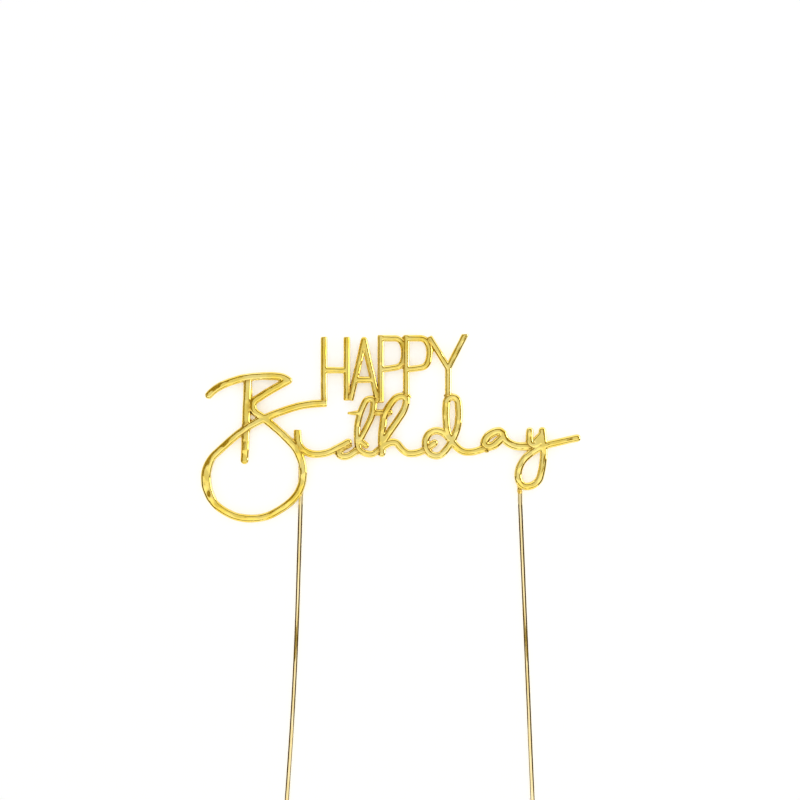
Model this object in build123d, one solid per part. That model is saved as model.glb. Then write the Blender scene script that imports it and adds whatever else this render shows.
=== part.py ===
from build123d import *
import os
from math import atan2, cos, degrees, hypot, radians, sin, sqrt

# Gilt cake topper: a two-word greeting made of formed metal strokes, on two wire stakes.
# Millimetres. +Z is up, and the front of the lettering faces -Y.
# The origin is the centre of the topper's width and depth, level with the tips of the stakes.

# Metal of the strokes: every stroke is a flat-backed bar with bevelled front edges.
THICKNESS = 3.0
BEVEL = 0.6
CAPITAL_STROKE = 2.4
SCRIPT_STROKE = 2.7
T_STROKE = 2.4
INITIAL_STROKE = 3.2

# Upper word: five plain capitals that stand on the script word. Widths are centre to centre.
CAPITAL_HEIGHT = 25.2
H_WIDTH = 9.1
H_BAR_HEIGHT = 12.0
A_WIDTH = 10.9
A_BAR_HEIGHT = 8.2
FOOT_DROP = 0.9
P_WIDTH = 9.3
P_RISE = 0.7
P_BOWL_HEIGHT = 12.4
P_BOWL_LIFT = 0.8
P_OVERLAP = 1.6
Y_WIDTH = 14.5
Y_FORK_HEIGHT = 12.9
Y_ARM_RISE = 1.2
LETTER_OVERLAP = 1.0

# Lower word: a looped script. Heights are centre lines above or below its baseline.
X_HEIGHT = 9.1
ASCENDER = 22.5
DESCENDER = 13.1
T_WIDTH = 6.5
T_TO_A = 1.6
T_BAR_HEIGHT = 16.3
T_BAR_STROKE = 2.2
T_POINT_LENGTH = 3.9
T_POINT_WIDTH = 0.7
H_LOOP_WIDTH = 9.7
D_WIDTH = 13.4
A_BOWL_WIDTH = 7.3
Y_LOOP_WIDTH = 10.2
Y_TAIL = 13.3
I_TO_LOOP = 2.2
I_FOOT_RUN = 7.6
R_WIDTH = 3.3
R_TO_T = 3.6
D_TO_A = 10.15
A_TO_Y = 16.25

# Initial of the lower word: an upright stem, and one long stroke that rounds a wide loop.
INITIAL_HEIGHT = 30.85
LOOP_WIDTH = 39.1
LOOP_DROP = 25.9
LOOP_TO_H = 8.3
STEM_DROP = 2.6
SWELL = 0.9
SWELL_STROKE = 2.4
SWELL_ANGLE = 12

# Two wire stakes, lapped behind the lettering. Angles are from the vertical.
STAKE_DIAMETER = 1.7
STAKE_LENGTH = 140.0
STAKE_POINT = 2.0
STAKE_POINT_DIAMETER = 0.7
LEFT_LAP = 3.0
LEFT_INSET = 0.65
LEFT_SPLAY_ANGLE = 1.75
LEFT_BEND_ANGLE = 2.2
LEFT_BEND_START = 54.0
LEFT_BEND_LENGTH = 60.0
RIGHT_LAP = 2.4
RIGHT_INSET = 1.0
RIGHT_BEND_ANGLE = 2.4
RIGHT_BEND_START = 5.5
RIGHT_BEND_LENGTH = 6.0

# Solder: a bead over the top of each stake, with a film of it between the wire and the stroke.
BEAD_SIDE = 0.55
BEAD_TOP_INSET = 0.15
LEFT_BEAD_LENGTH = 11.2
RIGHT_BEAD_LENGTH = 4.4
BEAD_COVER = 0.3
SOLDER_FILM = 0.15

# Levels.
BASELINE = STAKE_LENGTH + LOOP_DROP + INITIAL_STROKE / 2
FOOT = BASELINE + ASCENDER - SCRIPT_STROKE / 2
BEAD_HEIGHT = SOLDER_FILM + STAKE_DIAMETER + BEAD_COVER
BACK = (THICKNESS - BEAD_HEIGHT) / 2

# Places along the two words, counted from the left leg of the H.
A_LEFT = H_WIDTH + CAPITAL_STROKE - LETTER_OVERLAP
A_RIGHT = A_LEFT + A_WIDTH
P_LEFT = A_RIGHT + CAPITAL_STROKE / 2
P_RIGHT = P_LEFT + P_WIDTH + CAPITAL_STROKE - P_OVERLAP
Y_LEFT = P_RIGHT + P_WIDTH - LETTER_OVERLAP / 5
Y_STEM = Y_LEFT + 0.525 * Y_WIDTH
LOOP_RIGHT = -LOOP_TO_H
T_STEM = A_RIGHT - T_TO_A - T_WIDTH
H_STEM = P_RIGHT - H_LOOP_WIDTH
D_LEFT = Y_STEM - 0.68 * D_WIDTH
A_BOWL = D_LEFT + D_WIDTH + D_TO_A
Y_ARM = A_BOWL + A_BOWL_WIDTH + A_TO_Y
LEFT_END = LOOP_RIGHT - LOOP_WIDTH - INITIAL_STROKE / 2
RIGHT_END = Y_ARM + Y_TAIL + SCRIPT_STROKE / 2
SHIFT = -(LEFT_END + RIGHT_END) / 2
H_RISE = 0.015 * ASCENDER
I_STEM = LOOP_RIGHT - I_TO_LOOP
R_PEAK = T_STEM - R_TO_T
LOOP_SIDE = -0.3 * LOOP_DROP
Y_SIDE = -0.66 * DESCENDER
WIRE_DEPTH = BACK + SOLDER_FILM + STAKE_DIAMETER / 2

HALF_TURN_ANGLE = 180
STRAIGHT_ANGLE = 0.01


def reach(start, heading, end):
    """The straight or arc that leaves start at heading, in degrees, and passes through end."""
    dx, dz = end[0] - start[0], end[1] - start[1]
    c, s = cos(radians(heading)), sin(radians(heading))
    turn = 2 * degrees(atan2(dz * c - dx * s, dx * c + dz * s))
    chord = hypot(dx, dz)
    radius = None if abs(turn) < STRAIGHT_ANGLE else chord / (2 * sin(radians(abs(turn) / 2)))
    return {"start": start, "heading": heading, "turn": turn, "radius": radius, "length": chord}


def biarc(start, end):
    """Two tangent arcs from one knot to the next. A knot is (x, z, heading in degrees)."""
    (x0, z0, a0), (x1, z1, a1) = start, end
    c0, s0, c1, s1 = cos(radians(a0)), sin(radians(a0)), cos(radians(a1)), sin(radians(a1))
    dx, dz = x1 - x0, z1 - z0
    span = dx * dx + dz * dz
    along = dx * (c0 + c1) + dz * (s0 + s1)
    bend = 2 * (1 - c0 * c1 - s0 * s1)
    if bend < 1e-9:
        handle = span / (2 * along)
    else:
        handle = (sqrt(along * along + bend * span) - along) / bend
    middle = ((x0 + x1 + handle * (c0 - c1)) / 2, (z0 + z1 + handle * (s0 - s1)) / 2)
    first = reach((x0, z0), a0, middle)
    return [first, reach(middle, a0 + first["turn"], (x1, z1))]


def path(*knots):
    """A smooth centre line through the knots, as straights and arcs."""
    return [piece for pair in zip(knots, knots[1:]) for piece in biarc(*pair)]


def straight(start, end):
    """A centre line of one straight."""
    heading = degrees(atan2(end[1] - start[1], end[0] - start[0]))
    return [reach(start, heading, end)]


def bar_section(width):
    """Section of a stroke: across, and from its back to its front."""
    half = width / 2
    return [(-half, 0), (half, 0), (half, THICKNESS - BEVEL), (half - BEVEL, THICKNESS),
            (BEVEL - half, THICKNESS), (-half, THICKNESS - BEVEL)]


def plain_section(width, back, front):
    """Section of a square-edged strip, for cutting one stroke where another passes."""
    half = width / 2
    return [(-half, back), (half, back), (half, front), (-half, front)]


def clipped(section, limit, side):
    """The part of a section on the inner side of an arc's axis, limit away on that side."""
    kept = []
    for (u0, v0), (u1, v1) in zip(section, section[1:] + section[:1]):
        inside0, inside1 = side * u0 <= limit, side * u1 <= limit
        if inside0:
            kept.append((u0, v0))
        if inside0 != inside1:
            share = (side * limit - u0) / (u1 - u0)
            kept.append((side * limit, v0 + share * (v1 - v0)))
    return kept


def section_face(section, start, heading):
    """The section set square across a centre line."""
    c, s = cos(radians(heading)), sin(radians(heading))
    plane = Plane(origin=(start[0], BACK, start[1]), x_dir=(-s, 0, c), z_dir=(c, 0, s))
    return plane * make_face(Polyline(*section, close=True))


def bar(piece, section):
    """One straight or arc of a stroke as a solid."""
    start, heading, turn, radius = (piece[k] for k in ("start", "heading", "turn", "radius"))
    if radius is None:
        return extrude(section_face(section, start, heading), amount=piece["length"])
    side = 1 if turn > 0 else -1
    c, s = cos(radians(heading)), sin(radians(heading))
    centre = (start[0] - side * radius * s, BACK, start[1] + side * radius * c)
    face = section_face(clipped(section, radius, side), start, heading)
    return revolve(face, axis=Axis(centre, (0, -side, 0)), revolution_arc=abs(turn))


def round_end(section, point, heading):
    """Half a button that rounds off a stroke's end."""
    half = clipped(section, 0, -1)
    face = section_face(half, point, heading)
    return revolve(face, axis=Axis((point[0], BACK, point[1]), (0, 1, 0)), revolution_arc=HALF_TURN_ANGLE)


def end_of(line):
    """Last point and heading of a centre line."""
    piece = line[-1]
    heading = radians(piece["heading"] + piece["turn"] / 2)
    x, z = piece["start"]
    end = (x + piece["length"] * cos(heading), z + piece["length"] * sin(heading))
    return end, piece["heading"] + piece["turn"]


def stroke_solids(lines, section_of):
    """Solids of several centre lines. Each entry is (line, width, round start, round end)."""
    solids = []
    for line, width, round_start, round_stop in lines:
        section = section_of(width)
        solids += [bar(piece, section) for piece in line]
        if round_start:
            solids.append(round_end(section, line[0]["start"], line[0]["heading"] + HALF_TURN_ANGLE))
        if round_stop:
            solids.append(round_end(section, *end_of(line)))
    return solids


def tapered(start, end, width, tip):
    """A straight bar that narrows from start to end."""
    heading = degrees(atan2(end[1] - start[1], end[0] - start[0]))
    wide = bar_section(width)
    narrow = [(u * tip / width, v) for u, v in wide]
    return loft([section_face(wide, start, heading), section_face(narrow, end, heading)], ruled=True)


def fused(solids):
    """One solid from overlapping or touching ones."""
    return solids[0].fuse(*solids[1:]).clean() if len(solids) > 1 else solids[0]


def at(x, height, heading=None):
    """A place on the lettering: x from the left leg of the H, height from the baseline."""
    return (SHIFT + x, BASELINE + height) + (() if heading is None else (heading,))


def on_capital(x, height):
    """A place on a capital: x from the left leg of the H, height from the capitals' feet."""
    return (SHIFT + x, FOOT + height)


# Centre lines of the capitals.
def capital_h():
    bar_ends = on_capital(0, H_BAR_HEIGHT), on_capital(H_WIDTH, H_BAR_HEIGHT)
    return [(straight(on_capital(0, CAPITAL_HEIGHT), on_capital(0, 0)), False, False),
            (straight(on_capital(H_WIDTH, CAPITAL_HEIGHT), on_capital(H_WIDTH, 0)), False, False),
            (straight(*bar_ends), False, False)]


def capital_a():
    apex_height = CAPITAL_HEIGHT - CAPITAL_STROKE / 2
    apex = on_capital((A_LEFT + A_RIGHT) / 2, apex_height)
    slope = A_WIDTH / 2 / apex_height
    lean = slope * A_BAR_HEIGHT
    bar_ends = on_capital(A_LEFT + lean, A_BAR_HEIGHT), on_capital(A_RIGHT - lean, A_BAR_HEIGHT)
    return [(straight(on_capital(A_LEFT, 0), apex), False, True),
            (straight(on_capital(A_RIGHT + slope * FOOT_DROP, -FOOT_DROP), apex), False, False),
            (straight(*bar_ends), False, False)]


def capital_p(stem, foot):
    top = CAPITAL_HEIGHT + P_RISE - CAPITAL_STROKE / 2
    low = top - P_BOWL_HEIGHT

    def knot(share, height, heading):
        return (*on_capital(stem + share * P_WIDTH, height), heading)

    bowl = path(knot(0, top, 0), knot(0.6, top, 0), knot(1, top - 0.43 * P_BOWL_HEIGHT, 270),
                knot(0.66, low + P_BOWL_LIFT, 190), knot(0, low, 187))
    return [(straight(on_capital(stem, CAPITAL_HEIGHT + P_RISE), on_capital(stem, foot)), False, False),
            (bowl, False, False)]


def capital_y():
    fork = on_capital(Y_STEM, Y_FORK_HEIGHT)
    run, rise = Y_LEFT + Y_WIDTH - Y_STEM, CAPITAL_HEIGHT + Y_ARM_RISE - Y_FORK_HEIGHT
    right_top = on_capital(Y_STEM + 1.1 * run, Y_FORK_HEIGHT + 1.1 * rise)
    return [(straight(on_capital(Y_LEFT, CAPITAL_HEIGHT), fork), False, True),
            (straight(right_top, fork), False, False),
            (straight(fork, on_capital(Y_STEM, 0)), False, False)]


# Centre lines of the script. Knots are placed by shares of the letter's width and height.
def initial_b_stem():
    line = straight(at(LOOP_RIGHT - 0.565 * LOOP_WIDTH, INITIAL_HEIGHT - INITIAL_STROKE / 2),
                    at(LOOP_RIGHT - 0.595 * LOOP_WIDTH, -STEM_DROP))
    return [(line, False, True)]


def on_initial(share, height, heading):
    """A knot of the initial: a share of the loop's width from its right side, and a height."""
    return at(LOOP_RIGHT - share * LOOP_WIDTH, height, heading)


LOOP_BOTTOM = on_initial(0.53, -LOOP_DROP, 180)
LOOP_SHOULDER = on_initial(0.69, 0.2225 * INITIAL_HEIGHT, 40)
LOOP_LEFT_SIDE = path(LOOP_BOTTOM, on_initial(1, -0.38 * LOOP_DROP, 90), LOOP_SHOULDER)


def initial_b_loop():
    corner = 0.15, 0.943 * INITIAL_HEIGHT
    top_bar = path(on_initial(0.957, 0.753 * INITIAL_HEIGHT, 50), on_initial(0.64, 0.963 * INITIAL_HEIGHT, 14),
                   on_initial(0.33, INITIAL_HEIGHT, 0), on_initial(*corner, 320))
    bowl = path(on_initial(*corner, 210), on_initial(0.41, 0.753 * INITIAL_HEIGHT, 212),
                on_initial(0.515, 0.612 * INITIAL_HEIGHT, 270), on_initial(0.39, 0.445 * INITIAL_HEIGHT, 322),
                on_initial(0, LOOP_SIDE, 270), on_initial(0.12, -0.73 * LOOP_DROP, 223), LOOP_BOTTOM)
    last = path(LOOP_SHOULDER, on_initial(0.082, 0.598 * INITIAL_HEIGHT, 16),
                at(CAPITAL_STROKE / 2, ASCENDER - SCRIPT_STROKE / 2 - 0.35 * INITIAL_STROKE, 0))
    return [(top_bar, True, True), (bowl + LOOP_LEFT_SIDE + last, True, False)]


def initial_b_swell():
    """A line inside the loop's left side that thickens it towards the middle of the loop."""
    low, high = LOOP_LEFT_SIDE[1], LOOP_LEFT_SIDE[3]
    inset = INITIAL_STROKE / 2 + SWELL - SWELL_STROKE / 2
    middle = at(LOOP_RIGHT - LOOP_WIDTH + inset, -0.38 * LOOP_DROP, 90)
    line = path((*low["start"], low["heading"] - SWELL_ANGLE), middle,
                (*high["start"], high["heading"] + SWELL_ANGLE))
    return [(line, True, True)]


def script_i():
    line = path(at(I_STEM, 1.03 * X_HEIGHT, 268), at(I_STEM + 0.05 * I_FOOT_RUN, 0.5 * X_HEIGHT, 282),
                at(I_STEM + I_FOOT_RUN, -0.03 * X_HEIGHT, 0), at(R_PEAK, 0.5 * X_HEIGHT, 30))
    return [(line, False, True)]


def script_r():
    start = R_PEAK - SCRIPT_STROKE / 8
    line = path(at(start, 0.43 * X_HEIGHT, 215), at(start - R_WIDTH, 0.06 * X_HEIGHT, 255),
                at(start - 0.27 * R_WIDTH, -0.13 * X_HEIGHT, 5), at(T_STEM, 0.14 * X_HEIGHT, 30))
    return [(line, True, True)]


def script_t():
    w = T_WIDTH
    loop = path(at(T_STEM + 0.03 * w, 0.44 * X_HEIGHT, 61), at(T_STEM + 0.8 * w, 0.605 * ASCENDER, 66),
                at(T_STEM + w, 0.86 * ASCENDER, 84), at(T_STEM + 0.8 * w, 0.967 * ASCENDER, 180),
                at(T_STEM + 0.26 * w, 0.78 * ASCENDER, 248), at(T_STEM - 0.02 * w, 0.415 * ASCENDER, 268),
                at(T_STEM + 0.03 * w, 0.35 * X_HEIGHT, 278), at(T_STEM + 0.8 * w, -0.03 * X_HEIGHT, 0),
                at(H_STEM - SCRIPT_STROKE / 4, 0.22 * X_HEIGHT, 35))
    spur = straight(at(T_STEM + 0.1 * w, 0.58 * X_HEIGHT), at(T_STEM + 0.52 * w, 0.36 * X_HEIGHT))
    return [(loop, True, True), (spur, True, True)]


def script_t_point():
    """The left end of the crossbar, which narrows to a point."""
    height = T_BAR_HEIGHT - 0.1 * T_BAR_STROKE
    return tapered(at(T_STEM + 0.18 * T_WIDTH, height), at(T_STEM - T_POINT_LENGTH, height),
                   T_BAR_STROKE, T_POINT_WIDTH)


def script_t_bar():
    line = straight(at(T_STEM + 0.96 * T_WIDTH, T_BAR_HEIGHT), at(H_STEM + 0.32 * H_LOOP_WIDTH, T_BAR_HEIGHT))
    return [(line, False, True)]


def script_h():
    w = H_LOOP_WIDTH
    loop = path(at(H_STEM + 0.03 * w, 0.5 * X_HEIGHT, 53), at(H_STEM + 0.56 * w, 0.53 * ASCENDER, 55),
                at(H_STEM + w, 0.94 * ASCENDER, 88), at(H_STEM + 0.81 * w, ASCENDER + H_RISE, 180),
                at(H_STEM + 0.3 * w, 0.84 * ASCENDER, 238), at(H_STEM + 0.07 * w, 0.605 * ASCENDER, 262),
                at(H_STEM, 0.36 * ASCENDER, 266), at(H_STEM, 0, 270))
    hump = path(at(H_STEM, 0.28 * X_HEIGHT, 32), at(H_STEM + 0.48 * w, 0.5 * X_HEIGHT, 0),
                at(H_STEM + 0.82 * w, 0.2 * X_HEIGHT, 312), at(H_STEM + 1.2 * w, 0, 0),
                at(D_LEFT, 0.18 * X_HEIGHT, 28), at(D_LEFT + 0.27 * D_WIDTH, 0.46 * X_HEIGHT, 38))
    return [(loop, True, True), (hump, True, True)]


def script_d():
    w = D_WIDTH
    line = path(at(D_LEFT + 0.7 * w, 0.66 * X_HEIGHT, 125), at(D_LEFT + 0.33 * w, X_HEIGHT, 180),
                at(D_LEFT, 0.46 * X_HEIGHT, 270), at(D_LEFT + 0.33 * w, -0.1 * X_HEIGHT, 0),
                at(D_LEFT + 0.7 * w, 0.34 * X_HEIGHT, 55), at(D_LEFT + w, 0.72 * ASCENDER, 92),
                at(D_LEFT + 0.8 * w, ASCENDER, 180), at(D_LEFT + 0.61 * w, 0.72 * ASCENDER, 270),
                at(D_LEFT + 0.78 * w, 0.56 * X_HEIGHT, 302), at(D_LEFT + 1.28 * w, 0.06 * X_HEIGHT, 0),
                at(A_BOWL + 0.1 * A_BOWL_WIDTH, 0.26 * X_HEIGHT, 20))
    return [(line, True, True)]


def script_a():
    w = A_BOWL_WIDTH
    bowl = path(at(A_BOWL + w, 0.8 * X_HEIGHT, 110), at(A_BOWL + 0.74 * w, 0.97 * X_HEIGHT, 190),
                at(A_BOWL, 0.49 * X_HEIGHT, 258), at(A_BOWL + 0.24 * w, 0.3 * X_HEIGHT, 5),
                at(A_BOWL + 0.96 * w, 0.7 * X_HEIGHT, 48))
    out = path(at(A_BOWL + w, 0.86 * X_HEIGHT, 280), at(A_BOWL + 2 * w, 0.31 * X_HEIGHT, 0),
               at(Y_ARM - 0.5 * Y_LOOP_WIDTH, 0.34 * X_HEIGHT, 14))
    return [(bowl, True, False), (out, True, True)]


def script_y():
    w = Y_LOOP_WIDTH
    cup = path(at(Y_ARM - 0.54 * w, 0.98 * X_HEIGHT, 264), at(Y_ARM - 0.54 * w, 0.5 * X_HEIGHT, 278),
               at(Y_ARM - 0.36 * w, 0.36 * X_HEIGHT, 10), at(Y_ARM - 0.04 * w, 0.66 * X_HEIGHT, 50))
    web = straight(at(Y_ARM - 0.31 * w, 0.56 * X_HEIGHT), at(Y_ARM - 0.05 * w, 0.85 * X_HEIGHT))
    tail = path(at(Y_ARM - 0.05 * w, X_HEIGHT, 275), at(Y_ARM, 0, 268),
                at(Y_ARM - 0.66 * w, -DESCENDER, 180), at(Y_ARM - w, Y_SIDE, 90),
                at(Y_ARM - 0.5 * w, 0.02 * X_HEIGHT, 34), at(Y_ARM + Y_TAIL, 0.68 * X_HEIGHT, 12))
    return [(cup, True, True), (web, True, False), (tail, True, True)]


# A stake is a round wire. Its centre line runs down from its top, behind a stroke.
def across_wire(point, heading):
    """The plane square across a stake."""
    c, s = cos(radians(heading)), sin(radians(heading))
    return Plane(origin=(point[0], WIRE_DEPTH, point[1]), x_dir=(-s, 0, c), z_dir=(c, 0, s))


def wire(piece):
    """One straight or arc of a stake as a solid."""
    (x, z), turn, radius = piece["start"], piece["turn"], piece["radius"]
    face = across_wire((x, z), piece["heading"]) * Circle(STAKE_DIAMETER / 2)
    if radius is None:
        return extrude(face, amount=piece["length"])
    side = 1 if turn > 0 else -1
    heading = radians(piece["heading"])
    centre = (x - side * radius * sin(heading), WIRE_DEPTH, z + side * radius * cos(heading))
    return revolve(face, axis=Axis(centre, (0, -side, 0)), revolution_arc=abs(turn))


def advance(point, heading, length):
    """The point a length away along a heading."""
    return (point[0] + length * cos(radians(heading)), point[1] + length * sin(radians(heading)))


def down_to(point, heading, height):
    """The point where a straight from point at heading reaches a height."""
    return advance(point, heading, (height - point[1]) / sin(radians(heading)))


def pointed(end, heading):
    """The tapered point of a stake, from its full diameter to its flat."""
    cone = Cone(STAKE_DIAMETER / 2, STAKE_POINT_DIAMETER / 2, STAKE_POINT,
                align=(Align.CENTER, Align.CENTER, Align.MIN))
    return across_wire(end, heading) * cone


def stake_line(top, splay, bend, bend_start, bend_length):
    """A stake's centre line: straight down at its splay, a gentle bend, and straight to its tip."""
    heading = 270 + splay
    knee = advance(top, heading, bend_start)
    chord = 2 * bend_length / radians(abs(bend)) * sin(radians(abs(bend) / 2))
    ankle = advance(knee, heading + bend / 2, chord)
    tip = down_to(ankle, heading + bend, 0)
    end = advance(tip, heading + bend + HALF_TURN_ANGLE, STAKE_POINT)
    return straight(top, knee) + [reach(knee, heading, ankle)] + straight(ankle, end)


def left_stake_line():
    top = at(LOOP_RIGHT - LEFT_INSET, LOOP_SIDE + LEFT_LAP)
    return stake_line(top, -LEFT_SPLAY_ANGLE, -LEFT_BEND_ANGLE, LEFT_BEND_START, LEFT_BEND_LENGTH)


def right_stake_line():
    top = at(Y_ARM - Y_LOOP_WIDTH + RIGHT_INSET, RIGHT_LAP - DESCENDER)
    return stake_line(top, 0, RIGHT_BEND_ANGLE, RIGHT_BEND_START, RIGHT_BEND_LENGTH)


def bead_section(width):
    """Section of the solder over a wire of that width."""
    base, crown = width / 2 + BEAD_SIDE, width / 2 - BEAD_TOP_INSET
    return [(-base, 0), (-crown, -BEAD_HEIGHT), (crown, -BEAD_HEIGHT), (base, 0)]


def bead(line, length):
    """The solder over the top of a stake, from the back of the stroke up over the wire."""
    top, heading = line[0]["start"], line[0]["heading"]
    run = straight(top, advance(top, heading, length))
    return fused(stroke_solids([(run, STAKE_DIAMETER, True, True)], bead_section))


def drawn(lines, width):
    """Centre lines with the width of the stroke that follows them."""
    return [(line, width, round_start, round_stop) for line, round_start, round_stop in lines]


STROKES = {
    "capital_h": drawn(capital_h(), CAPITAL_STROKE),
    "capital_a": drawn(capital_a(), CAPITAL_STROKE),
    "capital_p_left": drawn(capital_p(P_LEFT, -FOOT_DROP), CAPITAL_STROKE),
    "capital_p_right": drawn(capital_p(P_RIGHT, H_RISE), CAPITAL_STROKE),
    "capital_y": drawn(capital_y(), CAPITAL_STROKE),
    "initial_b_stem": drawn(initial_b_stem(), INITIAL_STROKE),
    "initial_b_loop": drawn(initial_b_loop(), INITIAL_STROKE) + drawn(initial_b_swell(), SWELL_STROKE),
    "script_i": drawn(script_i(), SCRIPT_STROKE),
    "script_r": drawn(script_r(), SCRIPT_STROKE),
    "script_t": drawn(script_t(), T_STROKE),
    "script_t_bar": drawn(script_t_bar(), T_BAR_STROKE),
    "script_h": drawn(script_h(), SCRIPT_STROKE),
    "script_d": drawn(script_d(), SCRIPT_STROKE),
    "script_a": drawn(script_a(), SCRIPT_STROKE),
    "script_y": drawn(script_y(), SCRIPT_STROKE),
}

# Where one stroke butts against another, the first of each pair is cut to fit the second.
BUTTS = [
    ("capital_h", "initial_b_loop"), ("capital_a", "capital_h"), ("capital_a", "capital_p_left"),
    ("capital_a", "script_t"), ("capital_p_left", "script_t"), ("capital_p_left", "capital_p_right"),
    ("capital_p_right", "script_h"), ("capital_y", "capital_p_right"), ("capital_y", "script_d"),
    ("script_i", "initial_b_loop"), ("script_r", "script_i"), ("script_r", "script_t"),
    ("script_t", "script_h"), ("script_t_bar", "script_t"), ("script_d", "script_a"),
    ("script_a", "script_y"),
]

# Where one stroke crosses another, both are halved: the first of each pair keeps its front half.
LAPS = [("initial_b_loop", "initial_b_stem"), ("script_h", "script_t_bar"), ("script_d", "script_h")]


def strip(name, back, front):
    """A square-edged copy of a stroke, between two depths measured from its back."""
    return fused(stroke_solids(STROKES[name], lambda width: plain_section(width, back, front)))


nodes = {name: fused(stroke_solids(lines, bar_section)) for name, lines in STROKES.items()}
nodes["script_t"] = fused([nodes["script_t"], script_t_point()])
for cut, by in BUTTS:
    nodes[cut] = nodes[cut] - strip(by, -BEVEL, THICKNESS + BEVEL)
for front, back in LAPS:
    nodes[front] = nodes[front] - strip(back, -BEVEL, THICKNESS / 2)
    nodes[back] = nodes[back] - strip(front, THICKNESS / 2, THICKNESS + BEVEL)

# The right arm of the Y is cut off level at its top.
arm_x, arm_z = on_capital(Y_LEFT + Y_WIDTH, CAPITAL_HEIGHT + Y_ARM_RISE)
clear = 4 * max(CAPITAL_STROKE, THICKNESS)
above = Box(clear, clear, clear, align=(Align.CENTER, Align.CENTER, Align.MIN))
nodes["capital_y"] = nodes["capital_y"] - Pos(arm_x, 0, arm_z) * above

STAKES = [("left", left_stake_line(), LEFT_BEAD_LENGTH), ("right", right_stake_line(), RIGHT_BEAD_LENGTH)]
for side, line, bead_length in STAKES:
    stake = fused([wire(piece) for piece in line] + [pointed(*end_of(line))])
    nodes[side + "_stake"] = stake
    nodes[side + "_stake_solder"] = bead(line, bead_length) - stake
    print(side, "stake: lower run from", line[-1]["start"], "length", line[-1]["length"],
          "heading", line[-1]["heading"], "depth", WIRE_DEPTH)

os.makedirs("parts", exist_ok=True)
for name, shape in nodes.items():
    box = shape.bounding_box()
    print(name, len(shape.solids()), "volume", round(shape.volume, 1), shape.is_valid,
          [round(v, 2) for v in (*box.min, *box.max)])
    export_step(shape, f"parts/{name}.step")
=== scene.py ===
# %% [markdown]
# A gilt cake topper: a greeting of two words made of gold-plated metal strokes, on two wire stakes.
# The CAD model gives every stroke its place and size. Blender adds what CAD leaves out: worn round
# edges, lumpy solder, drawn wire and the plating itself.
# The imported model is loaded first, as a frame that nothing here moves.

# %% Load the frame
import math

import bpy
import numpy as np
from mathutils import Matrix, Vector
from mathutils.bvhtree import BVHTree


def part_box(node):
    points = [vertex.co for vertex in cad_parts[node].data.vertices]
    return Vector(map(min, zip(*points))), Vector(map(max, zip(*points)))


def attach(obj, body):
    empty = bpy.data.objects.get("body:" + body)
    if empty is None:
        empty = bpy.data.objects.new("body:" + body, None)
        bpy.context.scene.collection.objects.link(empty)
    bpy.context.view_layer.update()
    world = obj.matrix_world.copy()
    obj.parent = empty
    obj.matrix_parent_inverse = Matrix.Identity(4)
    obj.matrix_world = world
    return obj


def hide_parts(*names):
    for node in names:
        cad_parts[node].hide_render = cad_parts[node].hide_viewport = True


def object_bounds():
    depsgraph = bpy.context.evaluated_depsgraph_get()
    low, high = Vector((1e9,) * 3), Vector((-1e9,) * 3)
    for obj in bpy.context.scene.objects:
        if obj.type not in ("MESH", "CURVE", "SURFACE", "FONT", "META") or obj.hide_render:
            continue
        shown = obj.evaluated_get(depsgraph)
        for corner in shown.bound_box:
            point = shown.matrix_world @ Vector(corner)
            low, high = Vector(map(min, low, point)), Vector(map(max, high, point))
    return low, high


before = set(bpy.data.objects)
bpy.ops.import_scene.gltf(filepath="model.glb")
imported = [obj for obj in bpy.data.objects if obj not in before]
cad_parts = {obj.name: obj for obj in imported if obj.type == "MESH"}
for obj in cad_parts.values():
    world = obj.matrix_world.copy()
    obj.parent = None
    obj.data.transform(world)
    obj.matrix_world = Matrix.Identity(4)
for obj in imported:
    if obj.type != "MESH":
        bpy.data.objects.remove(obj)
cad_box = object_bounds()
MM = 0.001
scene = bpy.context.scene
scene.view_settings.view_transform = "Standard"


def in_mm(corners):
    """Corners of a box in millimetres, for printing."""
    return [[round(value / MM, 2) for value in corner] for corner in corners]


print("CAD nodes:", len(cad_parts), "box in mm:", in_mm(cad_box))

# %% [markdown]
# The photograph looks at the flat front of the topper, square on. A short lens close by would show the
# sides of the outer strokes, so a long one is used, from further back. One pixel of the photograph is
# 0.398 mm at the lettering, and that fixes how far back the camera stands.

# %% Camera
PIXEL = 0.398 * MM
PHOTO_PIXELS = 800
FRAME_WIDTH = PHOTO_PIXELS * PIXEL
LENS = 85.0
SENSOR = 36.0
AIM = Vector((3.73, -1.0, 188.8)) * MM
camera_distance = FRAME_WIDTH / SENSOR * LENS

bpy.ops.object.camera_add(location=AIM - Vector((0, camera_distance, 0)), rotation=(math.radians(90), 0, 0))
camera = bpy.context.object
camera.data.lens = LENS
camera.data.sensor_width = SENSOR
scene.camera = camera
print("camera stands", round(camera_distance, 3), "m in front of the lettering")

# %% [markdown]
# A shader is a small tree of nodes. Each one could be written out link by link, but every finish below
# needs the same few moves, so they become helpers: add a node, join outputs to inputs, do a sum, and
# start an empty material.

# %% Helpers for shader trees
def add_node(tree, kind, **values):
    """A new node. Names in values are sockets, or settings of the node itself."""
    node = tree.nodes.new(kind)
    for name, value in values.items():
        if hasattr(node, name):
            setattr(node, name, value)
        else:
            node.inputs[name.replace("_", " ")].default_value = value
    return node


def join(tree, *ends):
    """Joins outputs to inputs, given as pairs."""
    for out, into in zip(ends[::2], ends[1::2]):
        tree.links.new(out, into)


def math_node(tree, operation, *ends, clamp=False):
    """A Math node on numbers or on outputs of other nodes. Gives its own output."""
    node = add_node(tree, "ShaderNodeMath", operation=operation, use_clamp=clamp)
    for socket, end in zip(node.inputs, ends):
        if isinstance(end, (int, float)):
            socket.default_value = end
        else:
            tree.links.new(end, socket)
    return node.outputs[0]


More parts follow.
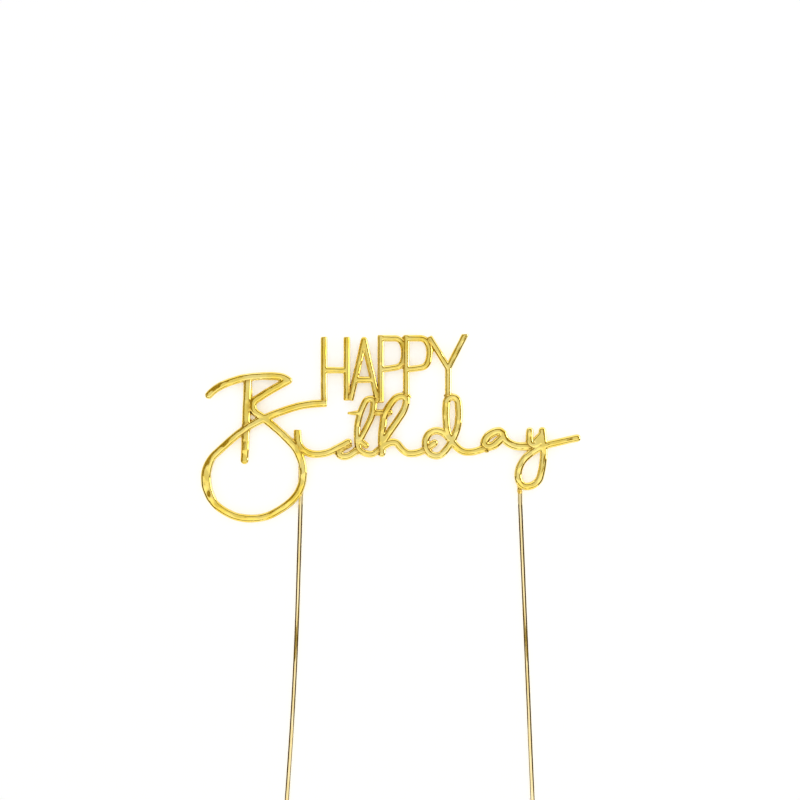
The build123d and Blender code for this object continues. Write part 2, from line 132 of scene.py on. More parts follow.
def new_material(name):
    """An empty node material, its tree and its output node."""
    material = bpy.data.materials.new(name)
    material.use_nodes = True
    tree = material.node_tree
    tree.nodes.clear()
    return material, tree, tree.nodes.new("ShaderNodeOutputMaterial")


print("helpers:", [helper.__name__ for helper in (add_node, join, math_node, new_material)])

# %% [markdown]
# The topper was laid on a white sheet to be photographed. The sheet has to show white in the open and
# still show the glow of the gold between the strokes. Plain Diffuse paper would turn grey, and plain
# Emission would hold no glow, so the two are mixed. An Ambient Occlusion node tells them apart: open
# paper is plain white, and hemmed-in paper is lit only by what reaches it. There the cream colour of the
# paper is a painted glow of the gold. Polished metal mirrors the same white, so reflections count as seen.

# %% White sheet
# Painted glow: the cream of the paper stands in for gold light bounced onto it near the strokes.
PAINTED_GLOW_CREAM = (0.98, 0.92, 0.78, 1)
PLAIN_WHITE = (1, 1, 1, 1)
HEM_REACH = 6 * MM
LEAST_WHITE = 0.10


def white_sheet(tree, rays, most_white):
    """Paper with a painted cream glow under plain white, the whiter the more open it is. Gives the mixed
    shader.
    """
    paper = add_node(tree, "ShaderNodeBsdfDiffuse", Color=PAINTED_GLOW_CREAM)
    plain = add_node(tree, "ShaderNodeEmission", Color=PLAIN_WHITE, Strength=1.0)
    hemmed = add_node(tree, "ShaderNodeAmbientOcclusion", samples=8, Distance=HEM_REACH)
    in_the_open = add_node(tree, "ShaderNodeMapRange", From_Min=0.25, From_Max=0.85,
                           To_Min=LEAST_WHITE, To_Max=most_white)
    mirrored = math_node(tree, "ADD", rays["Is Glossy Ray"], rays["Is Transmission Ray"], clamp=True)
    seen = math_node(tree, "ADD", rays["Is Camera Ray"], mirrored, clamp=True)
    share = math_node(tree, "MULTIPLY", seen, in_the_open.outputs[0])
    sheet = tree.nodes.new("ShaderNodeMixShader")
    join(tree, hemmed.outputs["AO"], in_the_open.inputs["Value"], share, sheet.inputs[0],
         paper.outputs[0], sheet.inputs[1], plain.outputs[0], sheet.inputs[2])
    return sheet.outputs[0]


print("paper turns cream within", round(HEM_REACH / MM), "mm of a stroke")

# %% [markdown]
# A sheet just behind the topper would hide it from there, so it lets the view through its back. It is also
# clear to reflections that start very close to it. Those come from the flat backs of the strokes, which
# then mirror the room and not the paper. The sheet could be left out of views from behind, but then no
# one script would serve every view.

# %% Paper that is clear from behind
CLOSE_MIRROR = 4 * MM


def clear_from_behind(tree, rays, sheet):
    """Lets through the view from behind a sheet, and reflections that start close to its front."""
    side = tree.nodes.new("ShaderNodeNewGeometry")
    close = math_node(tree, "LESS_THAN", rays["Ray Length"], CLOSE_MIRROR)
    close_mirror = math_node(tree, "MULTIPLY", close, rays["Is Glossy Ray"])
    through = math_node(tree, "MAXIMUM", close_mirror, side.outputs["Backfacing"])
    clear = tree.nodes.new("ShaderNodeBsdfTransparent")
    either = tree.nodes.new("ShaderNodeMixShader")
    join(tree, through, either.inputs[0], sheet, either.inputs[1], clear.outputs[0], either.inputs[2])
    return either.outputs[0]


def white_paper(name, most_white, clear_back=False):
    """Paper that is white in the picture and in reflections, and keeps a faint shadow."""
    material, tree, output = new_material(name)
    rays = tree.nodes.new("ShaderNodeLightPath").outputs
    surface = white_sheet(tree, rays, most_white)
    if clear_back:
        surface = clear_from_behind(tree, rays, surface)
    join(tree, surface, output.inputs["Surface"])
    return material


floor_paper = white_paper("floor_paper", most_white=0.75)
wall_paper = white_paper("wall_paper", most_white=0.98, clear_back=True)
print("papers:", floor_paper.name, wall_paper.name)

# %% [markdown]
# In the photograph the sheet lies flat under the topper. Here the topper stands up, so the sheet becomes a
# wall just behind it, with a floor under the tips of the stakes. Both are large planes, so that no edge of
# them comes into view.

# %% Wall and floor
SHEET_SIZE = 6.0
FLOOR_DROP = 0.1 * MM
WALL_DEPTH = 2.75 * MM


def lay_sheet(name, place, tilt, paper):
    """A large flat sheet of the stage, tilted by degrees about X."""
    bpy.ops.object.select_all(action="DESELECT")
    bpy.ops.mesh.primitive_plane_add(size=SHEET_SIZE, location=place, rotation=(math.radians(tilt), 0, 0))
    sheet = bpy.context.object
    sheet.name = name
    sheet.data.materials.append(paper)
    return sheet


floor = lay_sheet("floor", (0, 0, -FLOOR_DROP), 0, floor_paper)
wall = lay_sheet("wall", (0, WALL_DEPTH, 0), 90, wall_paper)
print("floor at", round(floor.location.z / MM, 2), "mm and wall at", round(wall.location.y / MM, 2), "mm")

# %% [markdown]
# Gold has no colour of its own in the dark: it shows what stands around it. An even white room would
# leave the flats without form. So the room is a little darker straight ahead, and straight behind, than at
# its sides. The direction of a ray gives the level, and the camera itself sees plain white.

# %% Room
SIDE_LEVEL = 1.2
AHEAD_LEVEL = 0.78

room = bpy.data.worlds.new("studio_room")
room.use_nodes = True
room_tree = room.node_tree
background = room_tree.nodes["Background"]
background.inputs["Color"].default_value = PLAIN_WHITE
direction = add_node(room_tree, "ShaderNodeTexCoord")
room_rays = add_node(room_tree, "ShaderNodeLightPath")
ahead = add_node(room_tree, "ShaderNodeVectorMath", operation="DOT_PRODUCT")
ahead.inputs[1].default_value = (0, -1, 0)
ahead_or_behind = math_node(room_tree, "ABSOLUTE", ahead.outputs["Value"])
level = add_node(room_tree, "ShaderNodeMapRange", From_Min=0.70, From_Max=0.95,
                 To_Min=SIDE_LEVEL, To_Max=AHEAD_LEVEL)
strength = add_node(room_tree, "ShaderNodeMix", B=1.0)
join(room_tree, direction.outputs["Generated"], ahead.inputs[0], ahead_or_behind, level.inputs["Value"],
     room_rays.outputs["Is Camera Ray"], strength.inputs["Factor"], level.outputs[0], strength.inputs["A"],
     strength.outputs[0], background.inputs["Strength"])
scene.world = room
print("room level from", AHEAD_LEVEL, "ahead to", SIDE_LEVEL, "at the sides")

# %% [markdown]
# Two lamps help the room. A softbox on the right draws bright lines on the right edges, where a bare
# point lamp would leave hard specks. A fill light in front lights the paper. It would show in the flats as
# a white patch, so reflections don't see it.

# %% Softboxes
LIT_POINT = Vector((0, 0, 0.17))


def softbox(name, place, size, watts):
    """A rectangular area light aimed at the middle of the lettering."""
    bpy.ops.object.light_add(type="AREA", location=place)
    lamp = bpy.context.object
    lamp.name = name
    lamp.data.shape = "RECTANGLE"
    lamp.data.size, lamp.data.size_y = size
    lamp.data.energy = watts
    lamp.rotation_mode = "QUATERNION"
    lamp.rotation_quaternion = (LIT_POINT - Vector(place)).to_track_quat("-Z", "Y")
    return lamp


right_softbox = softbox("right_softbox", place=(0.60, -0.12, 0.26), size=(0.22, 0.5), watts=1.6)
fill_softbox = softbox("fill_softbox", place=(0.0, -1.4, 0.5), size=(0.9, 0.6), watts=5.5)
fill_softbox.visible_glossy = False
print("softboxes:", [(lamp.name, round(lamp.data.energy, 1), "W") for lamp in (right_softbox, fill_softbox)])

# %% [markdown]
# A photographer of polished metal stands dark cards around it, because without something dark to mirror
# it looks like plastic. The dark could be painted into the finish, but it would then stay put when the view
# turns. A card here is a plane of dull paper that only reflections see.

# %% Make dark cards
def card_paper(name, colour):
    """Plain dull card of one colour."""
    material, tree, output = new_material(name)
    dull = add_node(tree, "ShaderNodeBsdfDiffuse", Color=(*colour, 1))
    join(tree, dull.outputs[0], output.inputs["Surface"])
    return material


def only_in_reflections(thing):
    """Makes a thing a part of the stage that only reflections see."""
    thing.visible_camera = False
    thing.visible_diffuse = False
    thing.visible_transmission = False
    thing.visible_shadow = False


def dark_card(name, material, size, place, turn):
    """A flat card, turned by degrees about X and about Z."""
    bpy.ops.object.select_all(action="DESELECT")
    bpy.ops.mesh.primitive_plane_add(size=1, location=place,
                                     rotation=(math.radians(turn[0]), 0, math.radians(turn[1])))
    card = bpy.context.object
    card.name = name
    card.scale = (*size, 1)
    card.data.materials.append(material)
    only_in_reflections(card)
    return card


card_black = card_paper("card_black", (0.05, 0.028, 0.003))
card_brown = card_paper("card_brown", (0.22, 0.17, 0.035))
print("card papers:", card_black.name, card_brown.name)

# %% [markdown]
# Low black cards on both sides draw the dark lines along each wire. Brown ones stand higher up, in front
# and behind, and draw lines along the strokes. Most come in mirrored pairs, so one loop sets them up.

# %% Stand the cards
LOW_SIZE = (0.20, 0.152)
TALL_SIZE = (0.33, 0.36)
WIDE_SIZE = (1.2, 0.30)
TALL_TURN = 33
WIDE_TILT = 57

cards = [dark_card("left_near_card", card_brown, (0.10, 0.30), (-0.20, -0.05, 0.29), (90, 90)),
         dark_card("top_card", card_brown, WIDE_SIZE, (0, -0.40, 0.45), (WIDE_TILT, 0)),
         dark_card("back_top_card", card_brown, WIDE_SIZE, (0, 0.40, 0.45), (-WIDE_TILT, 0)),
         dark_card("back_low_card", card_brown, (1.0, 0.05), (0, 0.30, 0.115), (90, 0))]
for hand, side in (("left", -1), ("right", 1)):
    turn = side * TALL_TURN
    across = side * 0.27
    cards += [dark_card(hand + "_low_card", card_black, LOW_SIZE, (side * 0.20, -0.10, 0.076), (90, 90)),
              dark_card(hand + "_far_card", card_brown, TALL_SIZE, (across, -0.38, 0.32), (90, turn)),
              dark_card("back_" + hand + "_card", card_brown, TALL_SIZE, (across, 0.38, 0.32), (90, -turn))]
print("cards:", [card.name for card in cards])

# %% [markdown]
# The lower edges of the strokes look down at the floor and would mirror nothing but white. Flat slats lie
# there, in front of the topper. One long card would also darken the middle of each wire, so there are three
# short ones, with a gap before each wire.

# %% Slats in front
SLAT_SPANS = {"left_slat": (-0.152, -0.052), "middle_slat": (-0.038, 0.055), "right_slat": (0.071, 0.170)}
SLAT_DEPTH = 0.13
SLAT_HEIGHT = 0.075

for name, (start, end) in SLAT_SPANS.items():
    place = ((start + end) / 2, -0.135, SLAT_HEIGHT)
    cards.append(dark_card(name, card_brown, (end - start, SLAT_DEPTH), place, (0, 0)))
spans = list(SLAT_SPANS.values())
gaps = [round((right[0] - left[1]) / MM) for left, right in zip(spans, spans[1:])]
print("cards and slats:", len(cards), "gaps between slats in mm:", gaps)

# %% [markdown]
# The strokes come next. Each is a bar of metal that the CAD model draws with crisp bevels, while the
# real one is cast, polished and plated, so its edges are soft all round. It could be drawn again along a
# curve, but a copy of the CAD mesh is the better start, because its place is exact. Its triangles are
# loose, so they are merged before anything else.

# %% Start a stroke from its CAD mesh
STROKE_NAMES = [name for name in sorted(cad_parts) if "stake" not in name]
MERGE_GAP = 0.001 * MM


def only(piece):
    """Selects one object and nothing else."""
    bpy.ops.object.select_all(action="DESELECT")
    piece.select_set(True)
    bpy.context.view_layer.objects.active = piece


def merged_copy(node_name, piece_name):
    """A copy of a CAD node with its loose triangles merged."""
    piece = bpy.data.objects.new(piece_name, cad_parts[node_name].data.copy())
    scene.collection.objects.link(piece)
    piece.data.materials.clear()
    only(piece)
    bpy.ops.object.mode_set(mode="EDIT")
    bpy.ops.mesh.select_mode(type="FACE")
    bpy.ops.mesh.select_all(action="SELECT")
    bpy.ops.mesh.remove_doubles(threshold=MERGE_GAP)
    bpy.ops.object.mode_set(mode="OBJECT")
    return piece


strokes = {name: merged_copy(name, name + "_gilt") for name in STROKE_NAMES}
print("strokes:", len(strokes), "with", sum(len(piece.data.polygons) for piece in strokes.values()), "faces")

# %% [markdown]
# In the CAD model a stroke that meets another is cut off square against it, which leaves a thin groove
# beside the neighbour's bevel. On the real topper the joint is filled. A Boolean union would fill it too, but
# it would make one piece of two. So every cut face that looks into a neighbour is found first, by a ray
# along its normal.

# %% Find the cut ends
REACH = 0.8 * MM
STEP_BACK = 0.05 * MM

cad_trees = {}
for name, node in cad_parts.items():
    places = [vertex.co.copy() for vertex in node.data.vertices]
    cad_trees[name] = BVHTree.FromPolygons(places, [face.vertices[:] for face in node.data.polygons])


def looks_into(face, vertices, tree):
    """True if a face lies along a neighbour's surface and faces it."""
    inside = face.center - face.normal * STEP_BACK
    if tree.ray_cast(inside, face.normal, REACH)[0] is None:
        return False
    return all(tree.find_nearest(vertices[i].co, REACH)[0] is not None for i in face.vertices)


def cut_faces(mesh, own_name):
    """One True or False for each face of a stroke: whether it looks into another stroke."""
    others = [cad_trees[name] for name in STROKE_NAMES if name != own_name]
    return [any(looks_into(face, mesh.vertices, tree) for tree in others) for face in mesh.polygons]


cuts = {name: cut_faces(piece.data, name) for name, piece in strokes.items()}
print("cut faces:", {name: sum(cut) for name, cut in cuts.items()})

# %% [markdown]
# The cut faces are then extruded a little way into the neighbour, so that the joint closes and each stroke
# stays a piece of its own. An end may not come out of the stroke's own front or back, so what lies outside
# is moved back to that depth.

# %% Run the cut ends into their neighbours
def keep_inside(piece, low, high):
    """Moves vertices that lie outside a box back to its faces."""
    places = np.empty(len(piece.data.vertices) * 3, dtype=np.float32)
    piece.data.vertices.foreach_get("co", places)
    places = np.clip(places.reshape(-1, 3), low, high)
    piece.data.vertices.foreach_set("co", places.ravel())
    piece.data.update()


def limits(own_name):
    """Corners of the CAD box, with the depth of one node."""
    low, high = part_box(own_name)
    return (cad_box[0][0], low.y, cad_box[0][2]), (cad_box[1][0], high.y, cad_box[1][2])


def run_into(piece, own_name, cut):
    """Extrudes the cut faces of a stroke, no deeper than the stroke itself."""
    mesh = piece.data
    mesh.vertices.foreach_set("select", [False] * len(mesh.vertices))
    mesh.edges.foreach_set("select", [False] * len(mesh.edges))
    mesh.polygons.foreach_set("select", cut)
    only(piece)
    bpy.ops.object.mode_set(mode="EDIT")
    bpy.ops.mesh.extrude_region_shrink_fatten(TRANSFORM_OT_shrink_fatten={"value": REACH})
    bpy.ops.object.mode_set(mode="OBJECT")
    keep_inside(piece, *limits(own_name))


for name, piece in strokes.items():
    run_into(piece, name, cuts[name])
print("cut ends run on by", round(REACH / MM, 2), "mm")

# %% [markdown]
# A stroke then gets a skin of plate, which fills narrow gaps but adds nothing to the front and the back.
# Scaling would lengthen a stroke more than widen it, so it is remeshed into even small voxels and each
# vertex is pushed out along its normal. After that the stroke is pressed back to its own depth.

# %% Plate a stroke
FINE_VOXEL = 0.15 * MM
COARSE_VOXEL = 0.19 * MM
LONG_STROKE = 45 * MM
PLATE = {"capital": 0.20 * MM, "initial": 0.07 * MM, "script": 0.24 * MM, "script_a": 0.45 * MM}


def apply_modifier(piece, kind, **settings):
    """Adds a modifier, sets it and applies it."""
    only(piece)
    modifier = piece.modifiers.new(kind.lower(), kind)
    for name, value in settings.items():
        setattr(modifier, name, value)
    bpy.ops.object.modifier_apply(modifier=modifier.name)


def resize_all(piece, scale, centre):
    """Scales a whole mesh about a point."""
    only(piece)
    bpy.ops.object.mode_set(mode="EDIT")
    bpy.ops.mesh.select_all(action="SELECT")
    bpy.ops.transform.resize(value=scale, center_override=centre)
    bpy.ops.object.mode_set(mode="OBJECT")


def plate_on(own_name):
    """Thickness of the plate on one stroke: its own, or that of its kind."""
    return PLATE.get(own_name, PLATE[own_name.split("_")[0]])


def plate_stroke(piece, own_name):
    """Remeshes a stroke, grows it by its plate and presses it back to its own depth."""
    voxel = COARSE_VOXEL if max(piece.dimensions) > LONG_STROKE else FINE_VOXEL
    apply_modifier(piece, "REMESH", mode="VOXEL", voxel_size=voxel)
    apply_modifier(piece, "DISPLACE", strength=plate_on(own_name), mid_level=0.0)
    low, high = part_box(own_name)
    depth = high.y - low.y
    resize_all(piece, (1, depth / (depth + 2 * plate_on(own_name)), 1), (low + high) / 2)


for name, piece in strokes.items():
    plate_stroke(piece, name)
print("plate in mm:", {name: round(plate_on(name) / MM, 2) for name in strokes})

# %% [markdown]
# Now the edges. A Bevel modifier would trip where strokes meet at odd angles, so the voxels are smoothed,
# which wears every edge down by the same amount, as polishing does. A ripple, only ever inwards, then keeps
# the flats from looking machined.

# %% Wear the edges round
WEAR_PASSES = 22
RIPPLE_DEPTH = 0.16 * MM
LAST_PASSES = 3


def clouds(name, size):
    """A soft cloud pattern with lumps of about one size."""
    texture = bpy.data.textures.new(name, "CLOUDS")
    texture.noise_scale = size
    texture.noise_depth = 0
    return texture


def push_in(piece, texture, depth):
    """Pushes a surface inwards by a pattern, and outwards nowhere."""
    apply_modifier(piece, "DISPLACE", texture=texture, texture_coords="LOCAL", strength=depth, mid_level=1.0)


cast_ripple = clouds("cast_ripple", 3.5 * MM)
for name, piece in strokes.items():
    apply_modifier(piece, "SMOOTH", factor=0.5, iterations=WEAR_PASSES)
    push_in(piece, cast_ripple, RIPPLE_DEPTH)
    keep_inside(piece, *limits(name))
    apply_modifier(piece, "SMOOTH", factor=0.5, iterations=LAST_PASSES)
    bpy.ops.object.shade_smooth()
print("stroke faces:", {name: len(piece.data.polygons) for name, piece in strokes.items()})

# %% [markdown]
# The corners where strokes meet get painted shade, an amber tint, and duller plate. The shader could guess at
# corners by Ambient Occlusion, but that would darken every inside bend too. So each vertex is told how near
# it is to a neighbour, in an attribute called joint that runs from 0 to 1.

# %% Mark the joints
JOINT_REACH = 1.3 * MM


def boxes_meet(first, second):
    """True if two CAD nodes' boxes come within JOINT_REACH of each other."""
    (low_a, high_a), (low_b, high_b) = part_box(first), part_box(second)
    return all(low_a[i] < high_b[i] + JOINT_REACH and low_b[i] < high_a[i] + JOINT_REACH for i in range(3))


def mark_joints(piece, own_name):
    """Writes the joint attribute: 1 where another piece touches, and 0 at JOINT_REACH or further."""
    others = [tree for name, tree in cad_trees.items() if name != own_name and boxes_meet(name, own_name)]
    near = np.full(len(piece.data.vertices), JOINT_REACH)
    for tree in others:
        for i, vertex in enumerate(piece.data.vertices):
            found = tree.find_nearest(vertex.co, JOINT_REACH)
            if found[0] is not None:
                near[i] = min(near[i], found[3])
    share = 1 - near / JOINT_REACH
    eased = share * share * (3 - 2 * share)
    attribute = piece.data.attributes.new("joint", "FLOAT", "POINT")
    attribute.data.foreach_set("value", eased.astype(np.float32))
    return round(float(share.mean()), 3)


print("mean joint value:", {name: mark_joints(piece, name) for name, piece in strokes.items()})

# %% [markdown]
# The stakes are cut from drawn wire, bent a little by hand. A curve with a bevel could give the same tube.
# Extruding ring by ring also gives the blunt top and the ground point, so that is the way used here. These
# helpers add one ring, a straight stretch or a gentle bend.

# %% Helpers for the stakes
RINGS = 8


def next_ring(centre, step, turn=0.0, size=1.0):
    """Extrudes the open end by one step, then turns and resizes the new ring about its centre."""
    bpy.ops.mesh.extrude_region_move(TRANSFORM_OT_translate={"value": step})
    centre = centre + step
    if turn:
        bpy.ops.transform.rotate(value=turn, orient_axis="Y", center_override=centre)
    if size != 1.0:
        bpy.ops.transform.resize(value=(size, size, size), center_override=centre)
    return centre


def heading(angle):
    """Direction in the plane of the lettering, in degrees from straight down towards +X."""
    return Vector((math.sin(math.radians(angle)), 0, -math.cos(math.radians(angle))))


def straight_run(centre, angle, length):
    """Adds the rings of a straight stretch. Gives the new centre."""
    for _ in range(RINGS):
        centre = next_ring(centre, heading(angle) * length / RINGS)
    return centre


def bent_run(centre, angle, bend, length):
    """Adds the rings of a gentle bend. Gives the new centre and the new angle."""
    for _ in range(RINGS):
        angle += bend / RINGS / 2
        centre = next_ring(centre, heading(angle) * length / RINGS, turn=math.radians(bend / RINGS))
        angle += bend / RINGS / 2
    return centre, angle


print("rings in each stretch:", RINGS)

# %% [markdown]
# From its top a stake runs straight, then round a bend, then straight to its point. The left one bends
# slowly along its middle, and the right one in a short kink near its top.

# %% Draw the stakes
WIRE_RADIUS = 0.85 * MM
WIRE_DEPTH = 1.425 * MM
WIRE_SIDES = 40
TOP_SHARE = 0.8
TOP_EDGE = 0.17 * MM
POINT_LENGTH = 2.0 * MM
TIP_LENGTH = 0.2 * MM
POINT_SHARE = 0.45
TIP_SHARE = 0.55


def wire_top(name, centre, angle):
    """Starts a wire with a filled circle, square to the way it runs, and stays in edit mode."""
    bpy.ops.object.select_all(action="DESELECT")
    facing = (math.radians(180), math.radians(-angle), 0)
    bpy.ops.mesh.primitive_circle_add(vertices=WIRE_SIDES, radius=WIRE_RADIUS * TOP_SHARE, fill_type="NGON",
                                      location=centre, rotation=facing)
    wire = bpy.context.object
    wire.name = name
    bpy.ops.object.transform_apply(location=True, rotation=True, scale=True)
    bpy.ops.object.mode_set(mode="EDIT")
    bpy.ops.mesh.select_all(action="SELECT")
    return wire


def draw_stake(name, top, angle, straight, bend, bend_length):
    """A pointed stake that ends at the floor. Angles are in degrees, the first from straight down."""
    centre = Vector((top[0], WIRE_DEPTH, top[1]))
    stake = wire_top(name, centre, angle)
    centre = next_ring(centre, heading(angle) * TOP_EDGE, size=1 / TOP_SHARE)
    centre = straight_run(centre, angle, straight - TOP_EDGE)
    centre, angle = bent_run(centre, angle, bend, bend_length)
    to_floor = centre.z / math.cos(math.radians(angle))
    centre = straight_run(centre, angle, to_floor - POINT_LENGTH)
    centre = next_ring(centre, heading(angle) * (POINT_LENGTH - TIP_LENGTH), size=POINT_SHARE)
    next_ring(centre, heading(angle) * TIP_LENGTH, size=TIP_SHARE)
    bpy.ops.mesh.select_all(action="SELECT")
    bpy.ops.mesh.normals_make_consistent(inside=False)
    bpy.ops.object.mode_set(mode="OBJECT")
    bpy.ops.object.shade_smooth_by_angle(angle=math.radians(50))
    return stake


left_stake = draw_stake("left_stake_wire", top=(-35.475 * MM, 162.73 * MM), angle=-1.75,
                        straight=54 * MM, bend=-2.2, bend_length=60 * MM)
right_stake = draw_stake("right_stake_wire", top=(51.675 * MM, 156.8 * MM), angle=0.0,
                         straight=5.5 * MM, bend=2.4, bend_length=6 * MM)

# %% [markdown]
# The edges of a wire mirror what lies close beside it, and next to white paper they would vanish. So a
# photographer lays a dark strip on each side of it, just out of sight. A straight card would stray from
# a bent wire. Here each strip is a dark copy of the wire itself, because it then follows every bend.

# %% Lay dark strips beside the stakes
STRIP_GAP = 2.2 * MM
STRIP_TOP = 147 * MM


def lay_strip(stake, hand, side):
    """A dark copy of a stake beside it, cut off below the strokes. Side is -1 or 1."""
    only(stake)
    bpy.ops.object.duplicate()
    strip = bpy.context.object
    strip.name = stake.name + "_" + hand + "_strip"
    bpy.ops.transform.translate(value=(side * STRIP_GAP, 0, 0))
    bpy.ops.object.mode_set(mode="EDIT")
    bpy.ops.mesh.select_all(action="SELECT")
    bpy.ops.mesh.bisect(plane_co=(0, 0, STRIP_TOP), plane_no=(0, 0, 1), clear_outer=True)
    bpy.ops.object.mode_set(mode="OBJECT")
    strip.data.materials.append(card_black)
    only_in_reflections(strip)
    return strip


strips = [lay_strip(stake, hand, side) for stake in (left_stake, right_stake)
          for hand, side in (("left", -1), ("right", 1))]
print("strips:", [strip.name for strip in strips])

# %% [markdown]
# A stake is soldered behind its stroke. Solder runs along the wire, rounds over it and sets in soft
# lumps. Spheres could be joined into lumps, but they would look like beads on a string. So the CAD bead is
# melted: remeshed, smoothed until no edge is left, and pushed into lumps.

# %% Set the solder
MELT_PASSES = 20
LUMP_DEPTH = 0.35 * MM
SETTLE_PASSES = 6
solder_lumps = clouds("solder_lumps", 1.3 * MM)


def set_solder(name, node, fill):
    """A lumpy bead in the place of a CAD bead, that fills a part of its width from the left."""
    bead = merged_copy(node, name)
    apply_modifier(bead, "REMESH", mode="VOXEL", voxel_size=FINE_VOXEL)
    apply_modifier(bead, "SMOOTH", factor=0.5, iterations=MELT_PASSES)
    push_in(bead, solder_lumps, LUMP_DEPTH)
    apply_modifier(bead, "SMOOTH", factor=0.5, iterations=SETTLE_PASSES)
    resize_all(bead, (fill, 1, 1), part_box(node)[0])
    bpy.ops.object.shade_smooth()
    return bead


left_solder = set_solder("left_solder_bead", "left_stake_solder", 0.80)
right_solder = set_solder("right_solder_bead", "right_stake_solder", 0.85)
print("solder beads:", len(left_solder.data.polygons), "and", len(right_solder.data.polygons), "faces")

# %% [markdown]
# Three gilt finishes follow, and what they share could be copied from one to the next. A node group is
# better: a small tree with named ends, built once and used in every finish. These helpers start a group
# and mix two colours in it.

# %% Helpers for node groups
COLOR = "NodeSocketColor"
FLOAT = "NodeSocketFloat"


def new_group(name, inputs, outputs):
    """An empty node group with named sockets, and its two end nodes."""
    group = bpy.data.node_groups.new(name, "ShaderNodeTree")
    for label, kind, value in inputs:
        group.interface.new_socket(label, in_out="INPUT", socket_type=kind).default_value = value
    for label, kind in outputs:
        group.interface.new_socket(label, in_out="OUTPUT", socket_type=kind)
    return group, group.nodes.new("NodeGroupInput").outputs, group.nodes.new("NodeGroupOutput").inputs


def mix_colours(tree, share, first, second):
    """A Mix node on two colours. Gives the mixed colour."""
    mix = add_node(tree, "ShaderNodeMix", data_type="RGBA")
    join(tree, share, mix.inputs[0], first, mix.inputs[6], second, mix.inputs[7])
    return mix.outputs[2]


print("helpers:", new_group.__name__, mix_colours.__name__)

# %% [markdown]
# Gold plate is never one even colour. Where it is thick it is deep and warm, and where polishing thinned it
# it is pale. One flat colour would look like paint, so noise mixes the deep and the pale in soft patches.
# The joint attribute adds painted shade: an amber tint in the corners where strokes meet.

# %% Group: tone of the plating and painted corner shade
# The largest share of painted shade: how far the colour turns amber in the corners where strokes meet.
MOST_CORNER_SHADE = 0.55

plating_tone_and_corner_shade, tone_in, tone_out = new_group(
    "plating_tone_and_corner_shade",
    [("Deep", COLOR, (0.9, 0.6, 0.1, 1)), ("Pale", COLOR, (1, 0.8, 0.3, 1)),
     ("Corner Shade", COLOR, (0.5, 0.25, 0.03, 1)), ("Patch Scale", FLOAT, 120.0)],
    [("Color", COLOR), ("Joint", FLOAT)])
tone_place = plating_tone_and_corner_shade.nodes.new("ShaderNodeTexCoord").outputs["Object"]
patches = add_node(plating_tone_and_corner_shade, "ShaderNodeTexNoise", Detail=3.0, Roughness=0.55)
spread = add_node(plating_tone_and_corner_shade, "ShaderNodeMapRange", From_Min=0.35, From_Max=0.65)
joint = add_node(plating_tone_and_corner_shade, "ShaderNodeAttribute", attribute_name="joint").outputs["Fac"]
pale_or_deep = mix_colours(plating_tone_and_corner_shade, spread.outputs[0], tone_in["Deep"], tone_in["Pale"])
# Painted shade: near a joint the colour is mixed towards amber.
corner_shade_share = math_node(plating_tone_and_corner_shade, "MULTIPLY", joint, MOST_CORNER_SHADE)
tone_with_corner_shade = mix_colours(plating_tone_and_corner_shade, corner_shade_share, pale_or_deep, tone_in["Corner Shade"])
join(plating_tone_and_corner_shade, tone_place, patches.inputs["Vector"], tone_in["Patch Scale"], patches.inputs["Scale"],
     patches.outputs[0], spread.inputs["Value"], tone_with_corner_shade, tone_out["Color"], joint, tone_out["Joint"])
print("group made:", plating_tone_and_corner_shade.name, "with", len(plating_tone_and_corner_shade.nodes), "nodes")

# %% [markdown]
# Polishing leaves hair lines and casting leaves a fine grain. Both are far smaller than a stroke, so they
# are a height for a Bump node and not geometry. Noise stretched along one direction gives the lines, and
# two sets cross each other. Plain noise gives the grain.

# %% Group: polish lines and grain
STRETCH = 0.08

polish_marks, marks_in, marks_out = new_group(
    "polish_marks",
    [("Line Scale", FLOAT, 900.0), ("Grain Scale", FLOAT, 2500.0), ("Grain", FLOAT, 0.35)],
    [("Height", FLOAT), ("Dull", FLOAT)])
marks_place = polish_marks.nodes.new("ShaderNodeTexCoord").outputs["Object"]


def noise(place, scale):
    """Fine noise in the group of polish marks. Gives its value."""
    texture = add_node(polish_marks, "ShaderNodeTexNoise", Detail=2.0)
    join(polish_marks, place, texture.inputs["Vector"], scale, texture.inputs["Scale"])
    return texture.outputs[0]


def hair_lines(stretch, turn):
    """Noise drawn out into lines and turned by degrees about Y."""
    angles = (0.0, math.radians(turn), 0.0)
    drawn = add_node(polish_marks, "ShaderNodeMapping", Scale=stretch, Rotation=angles)
    join(polish_marks, marks_place, drawn.inputs["Vector"])
    return noise(drawn.outputs[0], marks_in["Line Scale"])


along = hair_lines((1.0, 1.0, STRETCH), 35)
across = hair_lines((STRETCH, 1.0, 1.0), -20)
crossed = math_node(polish_marks, "MAXIMUM", along, across)
graded = add_node(polish_marks, "ShaderNodeMix")
dull = add_node(polish_marks, "ShaderNodeMapRange", From_Min=0.45, From_Max=0.75)
join(polish_marks, marks_in["Grain"], graded.inputs["Factor"], crossed, graded.inputs["A"],
     noise(marks_place, marks_in["Grain Scale"]), graded.inputs["B"], graded.outputs[0], marks_out["Height"],
     crossed, dull.inputs["Value"], dull.outputs[0], marks_out["Dull"])
print("group made:", polish_marks.name, "with", len(polish_marks.nodes), "nodes")

# %% [markdown]
# The three gilt finishes share the groups and differ in their values: bright polished plate on the strokes,
# paler drawn wire on the stakes, and softer solder under the plate. The colour and the roughness vary, so
# they come from the groups. What is the same all over sits on the shader itself.

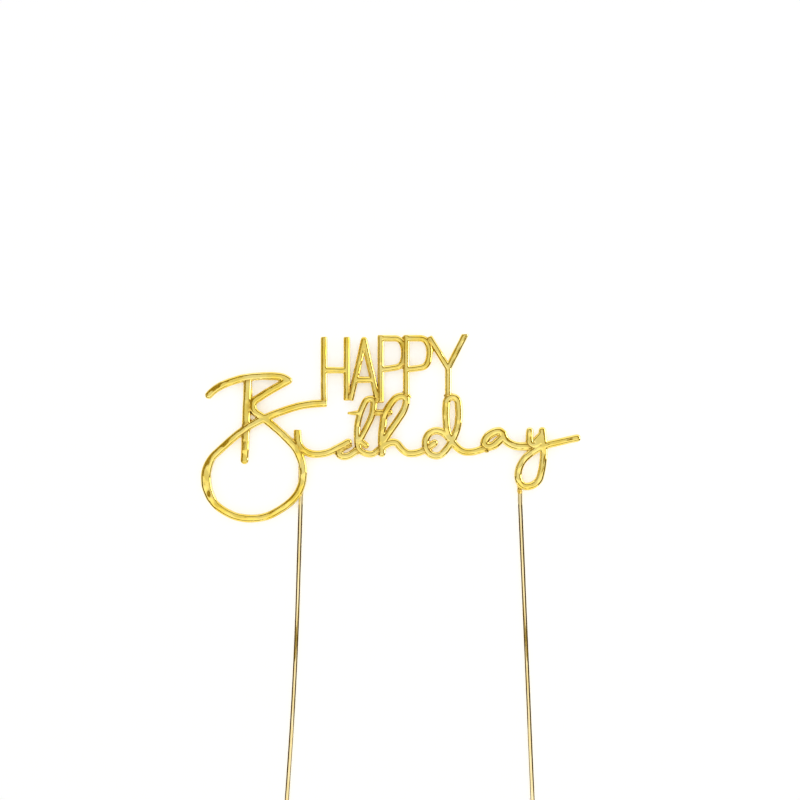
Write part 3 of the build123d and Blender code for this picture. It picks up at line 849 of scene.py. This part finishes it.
# %% Gilt finishes
def gilt(name, deep, pale, corner_shade_colour, patch_scale, line_scale, bump, bright, dulled):
    """A plated metal. Bright and dulled are its least and greatest roughness."""
    material, tree, output = new_material(name)
    shader = add_node(tree, "ShaderNodeBsdfPrincipled", Metallic=1.0)
    tone = add_node(tree, "ShaderNodeGroup", node_tree=plating_tone_and_corner_shade)
    marks = add_node(tree, "ShaderNodeGroup", node_tree=polish_marks)
    for label, colour in (("Deep", deep), ("Pale", pale), ("Corner Shade", corner_shade_colour)):
        tone.inputs[label].default_value = (*colour, 1)
    tone.inputs["Patch Scale"].default_value = patch_scale
    marks.inputs["Line Scale"].default_value = line_scale
    dullest = math_node(tree, "MAXIMUM", marks.outputs["Dull"], tone.outputs["Joint"])
    rough = add_node(tree, "ShaderNodeMapRange", To_Min=bright, To_Max=dulled)
    height = add_node(tree, "ShaderNodeBump", Strength=0.35, Distance=bump)
    join(tree, tone.outputs["Color"], shader.inputs["Base Color"],
         dullest, rough.inputs["Value"], rough.outputs[0], shader.inputs["Roughness"],
         marks.outputs["Height"], height.inputs["Height"], height.outputs[0], shader.inputs["Normal"],
         shader.outputs[0], output.inputs["Surface"])
    return material


# The third colour of each finish is the amber of the painted shade near joints.
gilt_stroke = gilt("gilt_stroke", deep=(0.95, 0.71, 0.11), pale=(1.00, 0.83, 0.28), corner_shade_colour=(0.58, 0.33, 0.02),
                   patch_scale=110.0, line_scale=900.0, bump=0.006 * MM, bright=0.05, dulled=0.13)
gilt_wire = gilt("gilt_wire", deep=(0.88, 0.72, 0.34), pale=(0.98, 0.86, 0.54), corner_shade_colour=(0.45, 0.30, 0.08),
                 patch_scale=60.0, line_scale=1500.0, bump=0.002 * MM, bright=0.02, dulled=0.06)
gilt_solder = gilt("gilt_solder", deep=(0.90, 0.60, 0.10), pale=(1.00, 0.78, 0.26), corner_shade_colour=(0.50, 0.27, 0.04),
                   patch_scale=400.0, line_scale=600.0, bump=0.020 * MM, bright=0.20, dulled=0.38)
print("finishes:", gilt_stroke.name, gilt_wire.name, gilt_solder.name)

# %% [markdown]
# Every new piece stands for one CAD node and rides on the one body of the part. The CAD nodes stay where
# they are, hidden behind the pieces.

# %% Dress the part
def dress(piece, node, material):
    """Gives a piece its finish, hides the CAD node that it stands for and ties the piece to the body."""
    piece.data.materials.clear()
    piece.data.materials.append(material)
    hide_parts(node)
    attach(piece, "root")


for name, piece in strokes.items():
    dress(piece, name, gilt_stroke)
for stake, node in ((left_stake, "left_stake"), (right_stake, "right_stake")):
    dress(stake, node, gilt_wire)
for bead, node in ((left_solder, "left_stake_solder"), (right_solder, "right_stake_solder")):
    dress(bead, node, gilt_solder)
